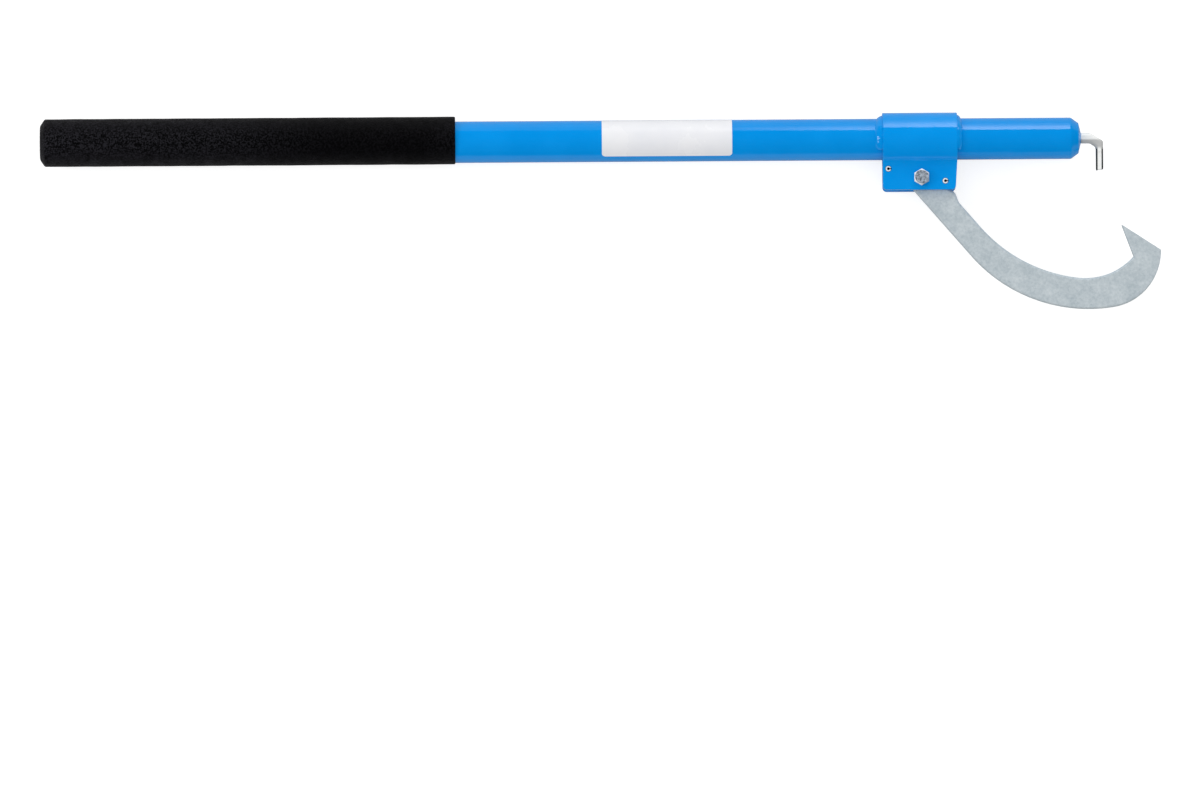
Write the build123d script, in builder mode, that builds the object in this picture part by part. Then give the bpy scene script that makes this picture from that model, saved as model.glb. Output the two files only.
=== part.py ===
from build123d import *
import os
from math import cos, radians, sin, tan

os.makedirs("parts", exist_ok=True)

# A cant hook lying on its side, in millimetres. +X runs along the handle from the
# butt to the toe claw, the hook hangs towards -Y, and the pivot points up along +Z.
# The origin is where the handle's axis meets the butt's end face.

# Handle tube, and the length from the butt's end face to the end of the nose
handle_length = 796.0
tube_diameter = 31.75
tube_wall = 3.175

# Foam grip, a sleeve closed at the butt, its bore off centre so that it is thicker on the
# side away from the hook
grip_length = 317.5
grip_wall = 2.4
grip_offset = 1.35
grip_end_wall = 5.0
grip_end_round = 5.5
grip_mouth_round = 0.9
grip_fit = 0.05

# Plastic plug under the grip's closed end
butt_flange = 2.0
butt_spigot = 20.0
butt_bore_diameter = 16.0
butt_rim = 0.8
plug_fit = 0.1

# Solid nose plug: a bevelled shoulder, a shallow cone, and a spigot in the tube
nose_head = 12.5
nose_spigot = 32.0
nose_cone_angle = 14.0
nose_bevel_length = 7.7
nose_bevel_angle = 36.0
nose_shoulder = 3.0
nose_brow = 6.0
spigot_chamfer = 1.0

# Toe claw: a round shank, forged squarer outside the nose and bent down in two steps,
# with a flat ground on each side of its tip
claw_diameter = 7.94
claw_neck = 0.6
claw_run = 7.0
claw_reach = 17.0
claw_slope = 32.0
claw_drop = 24.9
claw_slope_thickness = 6.9
claw_tip_width = 5.7
claw_edge_round = 2.7
claw_corner_round = 2.8
claw_elbow_round = 8.0
claw_throat_round = 3.6
claw_grind_start = 10.4
claw_grind_depth = 0.75
claw_tip_thickness = 4.7
claw_tip_slant = 9.0
claw_tip_chamfer = 0.5
claw_fit = 0.06
claw_tail = 3.2

# Nut and split washer on the claw's tail, inside the tube
toe_nut_flats = 12.7
toe_nut_height = 6.75
toe_washer_diameter = 14.9
toe_washer_thickness = 2.0
toe_washer_split = 1.0

# Saddle, a keyhole section round the tube with two ears for the hook
saddle_start = 644.1
saddle_length = 57.15
saddle_wall = 4.3
saddle_fit = 0.1
saddle_edge_round = 0.5
ear_below_tube = 23.7
ear_corner = 3.2
ear_blend = 5.0
ear_rake = 1.5
ear_rake_start = 16.0

# Weld beads round the saddle's two ends, open below the tube
weld_leg = 4.9
weld_height = 3.7
weld_bulge = 0.45
weld_half_angle = 115.0
weld_fit = 0.03

# Pivot, from the saddle's rear end and below the tube's underside, with its bolt and nut
pivot_back = 29.7
pivot_below_tube = 14.225
bolt_diameter = 6.35
bolt_stand = 0.3
bolt_fit = 0.1
bolt_chamfer = 0.8
thread_fit = 0.03
hex_flats = 11.11
hex_inset = 1.2
hex_slope = 0.7
head_height = 4.0
washer_diameter = 15.9
washer_thickness = 1.6
washer_fit = 0.35
nut_height = 7.9
nut_collar_height = 2.3
nut_collar_diameter = 10.4
nut_collar_round = 0.6
nut_lip = 0.5
insert_diameter = 9.0
insert_height = 1.7
insert_fit = 0.04

# Hook plate: lengths run along the shank from the pivot, offsets square to it
hook_thickness = 9.525
hook_side_gap = 0.5375
pivot_fit = 0.06
shank_angle = 49.2
eye_radius = 10.4
inner_offset = 9.2
heel_start = 17.5
heel_along = 25.2
heel_offset = 12.2
heel_end = 32.5
heel_round = 7.0
outer_run = 69.8
outer_sweep_radius = 118.9
outer_sweep_angle = 58.2
outer_bend_radius = 43.0
outer_bend_angle = 81.7
inner_run = 57.9
inner_sweep_radius = 116.1
inner_sweep_angle = 42.5
inner_bend_radius = 49.2
inner_bend_angle = 55.4
point_length = 25.6
point_angle = 110.6
inner_bevel = 1.6
outer_bevel = 0.6

# Slotted spring pins that stop the hook, one at each end of its swing
stop_pin_diameter = 4.76
stop_pin_wall = 1.5
stop_pin_slot = 1.1
stop_pin_stand = 0.125
stop_pin_chamfer = 0.35
stop_pin_fit = 0.03
stop_gap = 0.3
front_stop_along = 14.0
rear_stop_back = 25.4
rear_stop_rise = 6.65

# Blank label wrapped on the tube, its edges as angles from straight up towards +Y
label_start = 429.5
label_length = 99.6
label_low_edge = -52.0
label_high_edge = 92.0
label_thickness = 0.15
label_corner = 3.0
label_fit = 0.03

tube_radius = tube_diameter / 2
tube_inner_radius = tube_radius - tube_wall
tube_start = grip_end_wall + butt_flange
tube_end = handle_length - nose_head
plug_radius = tube_inner_radius - plug_fit
claw_radius = claw_diameter / 2
claw_bore_radius = claw_radius + claw_fit
saddle_radius = tube_radius + saddle_fit + saddle_wall
saddle_end = saddle_start + saddle_length
ear_gap = hook_thickness + 2 * hook_side_gap
ear_outer = ear_gap / 2 + saddle_wall
ear_drop = tube_radius + ear_below_tube
bolt_radius = bolt_diameter / 2
nut_bore_radius = bolt_radius + thread_fit
stop_pin_radius = stop_pin_diameter / 2
stop_pin_length = 2 * (ear_outer + stop_pin_stand)
bolt_length = 2 * ear_outer + washer_thickness + nut_height + bolt_stand
pivot = Vector(saddle_start + pivot_back, -tube_radius - pivot_below_tube)
shank = Vector(cos(radians(shank_angle)), -sin(radians(shank_angle)))
across = Vector(sin(radians(shank_angle)), cos(radians(shank_angle)))
front_stop_offset = inner_offset + stop_gap + stop_pin_radius
front_stop = pivot + shank * front_stop_along + across * front_stop_offset
rear_stop = pivot + Vector(-rear_stop_back, rear_stop_rise)


def save(piece, name):
    piece.part.label = name
    export_step(piece.part, f"parts/{name}.step")


def hexagon_block(plane, flats, height):
    # A hexagonal prism on the plane, corners along its y axis, coned at the far end
    with BuildPart() as block:
        with BuildSketch(plane):
            Circle(flats / 2 / cos(radians(30)))
        extrude(amount=height)
        far_face = block.faces().sort_by(Axis(plane.origin, plane.z_dir))[-1]
        chamfer(far_face.edges(), length=hex_inset, length2=hex_slope, reference=far_face)
        with BuildSketch(plane):
            RegularPolygon(radius=flats / 2, side_count=6, major_radius=False, rotation=30)
        extrude(amount=height, mode=Mode.INTERSECT)
    return block.part


# Handle tube
with BuildPart() as handle_tube:
    with BuildSketch(Plane.YZ.offset(tube_start)):
        Circle(tube_radius)
        Circle(tube_inner_radius, mode=Mode.SUBTRACT)
    extrude(amount=tube_end - tube_start)
save(handle_tube, "handle_tube")

# Foam grip
with BuildPart() as foam_grip:
    with BuildSketch(Plane.YZ):
        with Locations((grip_offset, 0)):
            Circle(tube_radius + grip_wall)
    extrude(amount=grip_length)
    grip_rims = foam_grip.edges().filter_by(GeomType.CIRCLE).sort_by(Axis.X)
    fillet(grip_rims[0], radius=grip_end_round)
    mouth_rim = foam_grip.edges().filter_by(GeomType.CIRCLE).sort_by(Axis.X)[-1]
    fillet(mouth_rim, radius=grip_mouth_round)
    with BuildSketch(Plane.YZ.offset(grip_end_wall)):
        Circle(tube_radius + grip_fit)
    extrude(amount=grip_length - grip_end_wall, mode=Mode.SUBTRACT)
save(foam_grip, "foam_grip")

# Butt plug, a flanged cup over the tube's cut end
with BuildPart() as butt_plug:
    with BuildSketch(Plane.YZ.offset(grip_end_wall)):
        Circle(tube_radius)
    extrude(amount=butt_flange)
    fillet(butt_plug.edges().sort_by(Axis.X)[0], radius=butt_rim)
    with BuildSketch(Plane.YZ.offset(tube_start)):
        Circle(plug_radius)
        Circle(butt_bore_diameter / 2, mode=Mode.SUBTRACT)
    extrude(amount=butt_spigot)
    spigot_rim = butt_plug.edges().group_by(Axis.X)[-1].sort_by(SortBy.RADIUS)[-1]
    chamfer(spigot_rim, length=spigot_chamfer)
save(butt_plug, "butt_plug")

# Nose plug, turned in one piece and bored through for the claw's shank
spigot_end = tube_end - nose_spigot
cone_fall = tan(radians(nose_cone_angle))
bevel_fall = 1 / tan(radians(nose_bevel_angle))
bevel_start = handle_length - nose_bevel_length
brow_radius = (tube_radius * bevel_fall - claw_bore_radius * cone_fall - nose_bevel_length) / (
    bevel_fall - cone_fall
)
brow_x = handle_length - (brow_radius - claw_bore_radius) * cone_fall
with BuildPart() as nose_plug:
    with BuildSketch(Plane.XY) as nose_profile:
        with BuildLine():
            Polyline(
                (spigot_end, claw_bore_radius),
                (spigot_end, plug_radius),
                (tube_end, plug_radius),
                (tube_end, tube_radius),
                (bevel_start, tube_radius),
                (brow_x, brow_radius),
                (handle_length, claw_bore_radius),
                close=True,
            )
        make_face()
        corners = nose_profile.vertices()
        fillet(corners.sort_by_distance((bevel_start, tube_radius))[0], radius=nose_shoulder)
        fillet(corners.sort_by_distance((brow_x, brow_radius))[0], radius=nose_brow)
        chamfer(corners.sort_by_distance((spigot_end, plug_radius))[0], length=spigot_chamfer)
    revolve(axis=Axis.X)
save(nose_plug, "nose_plug")

# Toe claw, from its tail in the tube to its ground tip
toe_washer_start = spigot_end - toe_washer_thickness
toe_nut_start = toe_washer_start - toe_nut_height
tail_start = toe_nut_start - claw_tail
neck_end = handle_length + claw_neck
outer_x = handle_length + claw_reach
inner_x = outer_x - claw_tip_width
slope_fall = tan(radians(claw_slope))
first_elbow = Vector(handle_length + claw_run, claw_radius)
second_elbow = Vector(outer_x, claw_radius - (claw_reach - claw_run) * slope_fall)
slope_height = claw_slope_thickness / cos(radians(claw_slope))
first_throat = Vector(first_elbow.X - (slope_height - claw_diameter) / slope_fall, -claw_radius)
second_throat = Vector(inner_x, -claw_radius - (inner_x - first_throat.X) * slope_fall)
blank_end = -claw_drop - claw_diameter
with BuildPart() as toe_claw:
    with BuildSketch(Plane.XY):
        with BuildLine():
            outer_chain = FilletPolyline(
                (neck_end, claw_radius),
                first_elbow,
                second_elbow,
                (outer_x, blank_end),
                radius=(claw_elbow_round, claw_corner_round),
            )
            inner_chain = FilletPolyline(
                (neck_end, -claw_radius),
                first_throat,
                second_throat,
                (inner_x, blank_end),
                radius=claw_throat_round,
            )
            Line(outer_chain @ 0, inner_chain @ 0)
            Line(outer_chain @ 1, inner_chain @ 1)
        make_face()
    extrude(amount=claw_radius, both=True)
    for flank in toe_claw.faces().filter_by(Plane.XY):
        fillet(flank.edges().sort_by(Axis.X)[1:], radius=claw_edge_round)
    with BuildSketch(Plane.YZ.offset(tail_start)):
        Circle(claw_radius)
    extrude(amount=neck_end - tail_start)
    chamfer(toe_claw.edges().filter_by(GeomType.CIRCLE).sort_by(Axis.X)[0], length=bolt_chamfer)
    for side in (1, -1):
        with BuildSketch(Plane.YZ.offset(inner_x)):
            with BuildLine():
                Polyline(
                    (-claw_grind_start, side * (claw_radius - claw_grind_depth)),
                    (-claw_drop, side * claw_tip_thickness / 2),
                    (-claw_drop - claw_diameter, side * claw_tip_thickness / 2),
                    (-claw_drop - claw_diameter, side * claw_diameter),
                    (-claw_grind_start, side * claw_diameter),
                    close=True,
                )
            make_face()
        extrude(amount=claw_diameter, both=True, mode=Mode.SUBTRACT)
    slant = radians(claw_tip_slant)
    split(
        bisect_by=Plane(origin=(inner_x, -claw_drop, 0), z_dir=(-sin(slant), cos(slant), 0)),
        keep=Keep.TOP,
    )
    chamfer(toe_claw.faces().sort_by(Axis.Y)[0].edges(), length=claw_tip_chamfer)
save(toe_claw, "toe_claw")

# Split washer and nut on the claw's tail
with BuildPart() as toe_lock_washer:
    with BuildSketch(Plane.YZ.offset(toe_washer_start)):
        Circle(toe_washer_diameter / 2)
        Circle(claw_bore_radius, mode=Mode.SUBTRACT)
        with Locations((0, toe_washer_diameter / 2)):
            Rectangle(toe_washer_split, toe_washer_diameter, mode=Mode.SUBTRACT)
    extrude(amount=toe_washer_thickness)
save(toe_lock_washer, "toe_lock_washer")

toe_nut_blank = hexagon_block(
    Plane(origin=(toe_washer_start, 0, 0), x_dir=(0, 1, 0), z_dir=(-1, 0, 0)),
    toe_nut_flats,
    toe_nut_height,
)
with BuildPart() as toe_nut:
    add(toe_nut_blank)
    with BuildSketch(Plane.YZ.offset(toe_nut_start)):
        Circle(claw_bore_radius)
    extrude(amount=toe_nut_height, mode=Mode.SUBTRACT)
save(toe_nut, "toe_nut")

# Saddle, one keyhole section cut to length, its ears open below the tube
with BuildPart() as saddle:
    with BuildSketch(Plane.YZ.offset(saddle_start)):
        Circle(saddle_radius)
        with Locations((-ear_drop / 2, 0)):
            Rectangle(ear_drop, 2 * ear_outer)
    extrude(amount=saddle_length)
    ear_roots = saddle.edges().filter_by(Axis.X).group_by(Axis.Y)[1]
    fillet(ear_roots, radius=ear_blend)
    with BuildSketch(Plane.XY):
        with BuildLine():
            Polyline(
                (saddle_end, -ear_rake_start),
                (saddle_end - ear_rake, -ear_drop),
                (saddle_end, -ear_drop),
                close=True,
            )
        make_face()
    extrude(amount=saddle_radius, both=True, mode=Mode.SUBTRACT)
    ear_corners = saddle.edges().filter_by(Axis.Z).group_by(Axis.Y)[0]
    fillet(ear_corners, radius=ear_corner)
    end_faces = saddle.faces().sort_by(Axis.X)
    fillet(end_faces[0].edges() + end_faces[-1].edges(), radius=saddle_edge_round)
    with BuildSketch(Plane.YZ.offset(saddle_start)):
        Circle(tube_radius + saddle_fit)
        with Locations((-ear_drop / 2, 0)):
            Rectangle(ear_drop, ear_gap)
    extrude(amount=saddle_length, mode=Mode.SUBTRACT)
    with BuildSketch(Plane.XY):
        with Locations(pivot):
            Circle(bolt_radius + bolt_fit)
        with Locations(front_stop, rear_stop):
            Circle(stop_pin_radius + stop_pin_fit)
    extrude(amount=saddle_radius, both=True, mode=Mode.SUBTRACT)
save(saddle, "saddle")

# Weld beads, one against each end of the saddle, over the top of the tube
bead_inner = tube_radius + weld_fit
bead_outer = bead_inner + weld_height
for name, face_x, outward in (("rear_weld", saddle_start, -1), ("front_weld", saddle_end, 1)):
    bead_toe = (face_x + outward * weld_leg, bead_inner)
    bead_crown = (
        face_x + outward * (weld_leg / 2 + weld_bulge),
        bead_inner + weld_height / 2 + weld_bulge,
    )
    with BuildPart() as weld_bead:
        with BuildSketch(Plane.XY.rotated((-weld_half_angle, 0, 0))):
            with BuildLine():
                Line((face_x, bead_inner), (face_x, bead_outer))
                ThreePointArc((face_x, bead_outer), bead_crown, bead_toe)
                Line(bead_toe, (face_x, bead_inner))
            make_face()
        revolve(axis=Axis.X, revolution_arc=2 * weld_half_angle)
    save(weld_bead, name)


def on_hook(along, offset):
    return pivot + shank * along + across * offset


# Hook plate: the eye, a straight shank with a heel, a long sweep, a tight bend, a point
with BuildPart() as log_hook:
    with BuildSketch(Plane.XY.offset(-hook_thickness / 2)) as hook_profile:
        with BuildLine():
            outer_edge = Line(on_hook(0, -eye_radius), on_hook(outer_run, -eye_radius))
            outer_sweep = JernArc(
                outer_edge @ 1, outer_edge % 1, outer_sweep_radius, outer_sweep_angle
            )
            outer_bend = JernArc(
                outer_sweep @ 1, outer_sweep % 1, outer_bend_radius, outer_bend_angle
            )
            Polyline(
                on_hook(0, -eye_radius),
                on_hook(0, inner_offset),
                on_hook(heel_start, inner_offset),
                on_hook(heel_along, heel_offset),
                on_hook(heel_end, inner_offset),
            )
            inner_edge = Line(on_hook(heel_end, inner_offset), on_hook(inner_run, inner_offset))
            inner_sweep = JernArc(
                inner_edge @ 1, inner_edge % 1, inner_sweep_radius, inner_sweep_angle
            )
            inner_bend = JernArc(
                inner_sweep @ 1, inner_sweep % 1, inner_bend_radius, inner_bend_angle
            )
            inner_point = PolarLine(inner_bend @ 1, point_length, point_angle)
            Line(inner_point @ 1, outer_bend @ 1)
        make_face()
        heel_corners = [
            hook_profile.vertices().sort_by_distance(on_hook(along, offset))[0]
            for along, offset in (
                (heel_start, inner_offset),
                (heel_along, heel_offset),
                (heel_end, inner_offset),
            )
        ]
        fillet(heel_corners, radius=heel_round)
        with Locations(pivot):
            Circle(eye_radius)
            Circle(bolt_radius + pivot_fit, mode=Mode.SUBTRACT)
    extrude(amount=hook_thickness)
    for curves, bevel in (
        ((inner_edge, inner_sweep, inner_bend), inner_bevel),
        ((outer_edge, outer_sweep, outer_bend), outer_bevel),
    ):
        for side in (1, -1):
            face_height = Vector(0, 0, side * hook_thickness / 2)
            rims = [log_hook.edges().sort_by_distance(curve @ 0.5 + face_height)[0] for curve in curves]
            chamfer(rims, length=bevel)
save(log_hook, "log_hook")

# Pivot bolt, its head on the upper ear
pivot_head = hexagon_block(Plane.XY.offset(ear_outer).move(Location(pivot)), hex_flats, head_height)
with BuildPart() as pivot_bolt:
    add(pivot_head)
    with BuildSketch(Plane.XY.offset(ear_outer)):
        with Locations(pivot):
            Circle(bolt_radius)
    extrude(amount=-bolt_length)
    chamfer(pivot_bolt.edges().sort_by(Axis.Z)[0], length=bolt_chamfer)
save(pivot_bolt, "pivot_bolt")

# Washer under the lower ear
with BuildPart() as pivot_washer:
    with BuildSketch(Plane.XY.offset(-ear_outer - washer_thickness)):
        with Locations(pivot):
            Circle(washer_diameter / 2)
            Circle(bolt_radius + washer_fit, mode=Mode.SUBTRACT)
    extrude(amount=washer_thickness)
save(pivot_washer, "pivot_washer")

# Lock nut, a hexagon with a round collar that is turned in over the nylon ring
nut_top = -ear_outer - washer_thickness
nut_bottom = nut_top - nut_height
nut_blank = hexagon_block(
    Plane(origin=(pivot.X, pivot.Y, nut_top), x_dir=(1, 0, 0), z_dir=(0, 0, -1)),
    hex_flats,
    nut_height - nut_collar_height,
)
with BuildPart() as pivot_nut:
    add(nut_blank)
    with BuildSketch(Plane.XY.offset(nut_bottom)):
        with Locations(pivot):
            Circle(nut_collar_diameter / 2)
    extrude(amount=nut_height)
    fillet(pivot_nut.edges().sort_by(Axis.Z)[0], radius=nut_collar_round)
    with BuildSketch(Plane.XY.offset(nut_bottom)):
        with Locations(pivot):
            Circle(nut_bore_radius)
    extrude(amount=nut_height, mode=Mode.SUBTRACT)
    with BuildSketch(Plane.XY.offset(nut_bottom + nut_lip)):
        with Locations(pivot):
            Circle(insert_diameter / 2)
    extrude(amount=insert_height, mode=Mode.SUBTRACT)
save(pivot_nut, "pivot_nut")

with BuildPart() as nut_insert:
    with BuildSketch(Plane.XY.offset(nut_bottom + nut_lip)):
        with Locations(pivot):
            Circle(insert_diameter / 2 - insert_fit)
            Circle(nut_bore_radius, mode=Mode.SUBTRACT)
    extrude(amount=insert_height)
save(nut_insert, "nut_insert")

# Spring pins, rolled tubes with an open slot, pressed through both ears
for name, place in (("front_stop_pin", front_stop), ("rear_stop_pin", rear_stop)):
    with BuildPart() as stop_pin:
        with BuildSketch(Plane.XY.offset(-stop_pin_length / 2)):
            with Locations(place):
                Circle(stop_pin_radius)
        extrude(amount=stop_pin_length)
        chamfer(stop_pin.edges().filter_by(GeomType.CIRCLE), length=stop_pin_chamfer)
        with BuildSketch(Plane.XY.offset(-stop_pin_length / 2)):
            with Locations(place):
                Circle(stop_pin_radius - stop_pin_wall)
                with Locations((stop_pin_radius / 2, 0)):
                    Rectangle(stop_pin_radius + stop_pin_wall, stop_pin_slot)
        extrude(amount=stop_pin_length, mode=Mode.SUBTRACT)
    save(stop_pin, name)

# Label, a thin sleeve section that runs from below the middle to past the top
label_inner = tube_radius + label_fit
with BuildPart() as label:
    with BuildSketch(Plane.XY.rotated((90 - label_high_edge, 0, 0))):
        with Locations((label_start + label_length / 2, label_inner + label_thickness / 2)):
            Rectangle(label_length, label_thickness)
    revolve(axis=Axis.X, revolution_arc=label_high_edge - label_low_edge)
    for edge_angle, inward_turn in ((label_low_edge, 1), (label_high_edge, -1)):
        facing = Vector(0, sin(radians(edge_angle)), cos(radians(edge_angle)))
        for end_x, inward in ((label_start, 1), (label_start + label_length, -1)):
            corner_plane = Plane(
                origin=Vector(end_x, 0, 0) + facing * label_inner, x_dir=(1, 0, 0), z_dir=facing
            )
            with BuildSketch(corner_plane):
                Rectangle(2 * label_corner, 2 * label_corner)
                with Locations((inward * label_corner, inward_turn * label_corner)):
                    Circle(label_corner, mode=Mode.SUBTRACT)
            extrude(amount=label_corner, both=True, mode=Mode.SUBTRACT)
save(label, "label")
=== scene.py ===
import bpy
import random
from math import asin, cos, pi, radians, sin
from mathutils import Matrix, Vector


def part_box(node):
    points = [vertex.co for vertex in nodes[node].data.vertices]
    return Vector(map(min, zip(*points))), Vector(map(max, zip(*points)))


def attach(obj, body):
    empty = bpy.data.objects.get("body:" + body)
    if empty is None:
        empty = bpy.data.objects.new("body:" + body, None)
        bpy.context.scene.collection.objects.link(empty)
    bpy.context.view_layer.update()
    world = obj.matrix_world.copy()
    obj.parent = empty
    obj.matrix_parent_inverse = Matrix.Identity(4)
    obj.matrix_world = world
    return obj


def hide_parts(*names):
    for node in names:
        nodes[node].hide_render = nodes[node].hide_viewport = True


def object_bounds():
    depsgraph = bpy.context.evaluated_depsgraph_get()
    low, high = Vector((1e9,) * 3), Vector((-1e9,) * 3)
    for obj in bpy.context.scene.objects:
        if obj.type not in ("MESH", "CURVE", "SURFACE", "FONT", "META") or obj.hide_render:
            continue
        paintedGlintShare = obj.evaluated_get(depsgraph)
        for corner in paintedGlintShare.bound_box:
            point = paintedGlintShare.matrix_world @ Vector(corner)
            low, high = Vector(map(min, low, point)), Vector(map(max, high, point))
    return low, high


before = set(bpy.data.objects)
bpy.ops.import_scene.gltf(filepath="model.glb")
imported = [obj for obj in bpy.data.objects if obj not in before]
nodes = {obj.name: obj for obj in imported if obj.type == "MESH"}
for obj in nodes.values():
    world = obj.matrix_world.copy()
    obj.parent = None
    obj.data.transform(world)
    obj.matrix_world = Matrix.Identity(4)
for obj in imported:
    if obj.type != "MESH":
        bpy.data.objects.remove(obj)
cadLow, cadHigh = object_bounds()
print("frame loaded:", len(nodes), "nodes")

# The tool lies on its side: X along the handle, Z up, the hook towards -Y
handleLow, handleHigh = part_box("handle_tube")
tubeRadius = (handleHigh.y - handleLow.y) / 2
mm = 0.001


def deselectAll():
    if bpy.context.object and bpy.context.object.mode != "OBJECT":
        bpy.ops.object.mode_set(mode="OBJECT")
    bpy.ops.object.select_all(action="DESELECT")


def pickOnly(piece):
    deselectAll()
    piece.select_set(True)
    bpy.context.view_layer.objects.active = piece


def editMesh(piece, kind):
    # edit mode with nothing selected, so that the code can pick elements by place
    pickOnly(piece)
    bpy.ops.object.mode_set(mode="EDIT")
    bpy.ops.mesh.select_mode(type=kind)
    bpy.ops.mesh.select_all(action="DESELECT")
    bpy.ops.object.mode_set(mode="OBJECT")


def pickParts(piece, kind, test):
    editMesh(piece, kind)
    mesh = piece.data
    spots = {
        "VERT": lambda part: part.co,
        "EDGE": lambda part: tuple(mesh.vertices[v].co for v in part.vertices),
        "FACE": lambda part: part.center,
    }
    parts = {"VERT": mesh.vertices, "EDGE": mesh.edges, "FACE": mesh.polygons}[kind]
    for part in parts:
        part.select = test(spots[kind](part))
    bpy.ops.object.mode_set(mode="EDIT")


def leaveEdit():
    bpy.ops.object.mode_set(mode="OBJECT")


def applyAll(piece):
    pickOnly(piece)
    for modifier in list(piece.modifiers):
        bpy.ops.object.modifier_apply(modifier=modifier.name)


def settle(piece):
    # a finished piece sits at the origin, with its place in its mesh
    pickOnly(piece)
    bpy.ops.object.transform_apply(location=True, rotation=True, scale=True)


# Foam grip: a sleeve with a closed, bevelled butt, a soft mouth and a slightly uneven skin

gripSet = {
    "sides": 96,
    "rings": 90,
    "buttTaper": 3.6 * mm,
    "buttStep": 5.4 * mm,
    "buttRimRound": 0.9 * mm,
    "buttFaceRound": 1.2 * mm,
    "mouthRound": 0.9 * mm,
    "endWall": 5.0 * mm,
    "boreGap": 0.08 * mm,
    "lumpSize": 0.02,
    "lumpHeight": 0.35 * mm,
    "lumpLevel": 0.55,
    "rimSteps": 4,
    "faceRings": 3,
    "faceRingShare": 0.2,
    "nearby": 0.01 * mm,
    "smoothBelow": 50.0,
}


def makeGrip(name):
    # the sleeve's outside stands a little off the tube's axis, away from the hook
    low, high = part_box("foam_grip")
    radius = (high.y - low.y) / 2
    middle = (high.y + low.y) / 2
    length = high.x - low.x
    taper = gripSet["buttTaper"]
    nearby = gripSet["nearby"]
    bpy.ops.mesh.primitive_cylinder_add(
        vertices=gripSet["sides"], radius=radius, depth=length - taper, end_fill_type="NGON",
        location=(low.x + taper + (length - taper) / 2, middle, 0), rotation=(0, pi / 2, 0),
    )
    grip = bpy.context.object
    grip.name = name
    settle(grip)

    def offMiddle(spot):
        return Vector((spot.y - middle, spot.z)).length

    def alongSide(ends):
        return abs(ends[0].x - ends[1].x) > length / 2

    pickParts(grip, "EDGE", alongSide)
    bpy.ops.mesh.subdivide(number_cuts=gripSet["rings"])
    leaveEdit()
    pickParts(grip, "FACE", lambda spot: spot.x > high.x - 0.1 * mm)
    bpy.ops.mesh.inset(thickness=radius - tubeRadius - gripSet["boreGap"])
    bpy.ops.transform.translate(value=(0, -middle, 0))
    bpy.ops.mesh.extrude_region_move(
        TRANSFORM_OT_translate={"value": (gripSet["endWall"] - length, 0, 0)}
    )
    leaveEdit()

    # the closed end is drawn in to a smaller face, and both its rims are rounded
    pickParts(grip, "FACE", lambda spot: spot.x < low.x + taper + nearby)
    bpy.ops.mesh.extrude_region_move(TRANSFORM_OT_translate={"value": (-taper, 0, 0)})
    drawn = (radius - gripSet["buttStep"]) / radius
    bpy.ops.transform.resize(value=(1, drawn, drawn), center_override=(low.x, middle, 0))
    leaveEdit()

    def roundRim(rimX, least, rimRound):

        def atRim(ends):
            return all(abs(end.x - rimX) < nearby and offMiddle(end) > least for end in ends)

        pickParts(grip, "EDGE", atRim)
        bpy.ops.mesh.bevel(
            offset=rimRound, segments=gripSet["rimSteps"], affect="EDGES", profile=0.5
        )
        leaveEdit()

    roundRim(low.x, radius / 2, gripSet["buttFaceRound"])
    roundRim(low.x + taper, radius / 2, gripSet["buttRimRound"])
    roundRim(high.x, radius - 0.1 * mm, gripSet["mouthRound"])
    pickParts(grip, "FACE", lambda spot: spot.x < low.x + nearby)
    for ring in range(gripSet["faceRings"]):
        bpy.ops.mesh.inset(thickness=radius * gripSet["faceRingShare"])
    leaveEdit()

    lumps = bpy.data.textures.new("gripLumps", "CLOUDS")
    lumps.noise_scale = gripSet["lumpSize"]
    lumps.noise_depth = 2
    skin = grip.vertex_groups.new(name="skin")
    outer = [v.index for v in grip.data.vertices if offMiddle(v.co) > radius - 1.0 * mm]
    skin.add(outer, 1.0, "REPLACE")
    swell = grip.modifiers.new("lumps", "DISPLACE")
    swell.texture = lumps
    swell.texture_coords = "LOCAL"
    swell.strength = gripSet["lumpHeight"]
    swell.mid_level = gripSet["lumpLevel"]
    swell.vertex_group = "skin"
    applyAll(grip)
    bpy.ops.object.shade_smooth_by_angle(angle=radians(gripSet["smoothBelow"]))
    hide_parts("foam_grip")
    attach(grip, "handle")
    return grip


grip = makeGrip("grip_foam_sleeve")
print("grip modelled")


# Weld beads: overlapping puddles laid round the tube, joined and softened

weldSet = {
    "puddles": 38,
    "endTurn": 112.0,
    "puddleLong": 3.4 * mm,
    "wander": 0.16 * mm,
    "voxel": 0.30 * mm,
    "soften": 0.5,
    "softenSteps": 7,
    "dropSides": 20,
    "dropRings": 12,
    "sizeSpread": 0.05,
    "rear": {
        "outward": -1, "seed": 7, "wide": 4.4 * mm, "thick": 1.7 * mm, "lean": 30.0,
        "stepOut": 2.3 * mm, "stepUp": 0.8 * mm, "topShare": 0.72,
    },
    "front": {
        "outward": 1, "seed": 11, "wide": 3.5 * mm, "thick": 1.9 * mm, "lean": 50.0,
        "stepOut": 1.6 * mm, "stepUp": 1.3 * mm, "topShare": 0.62,
    },
}


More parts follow.
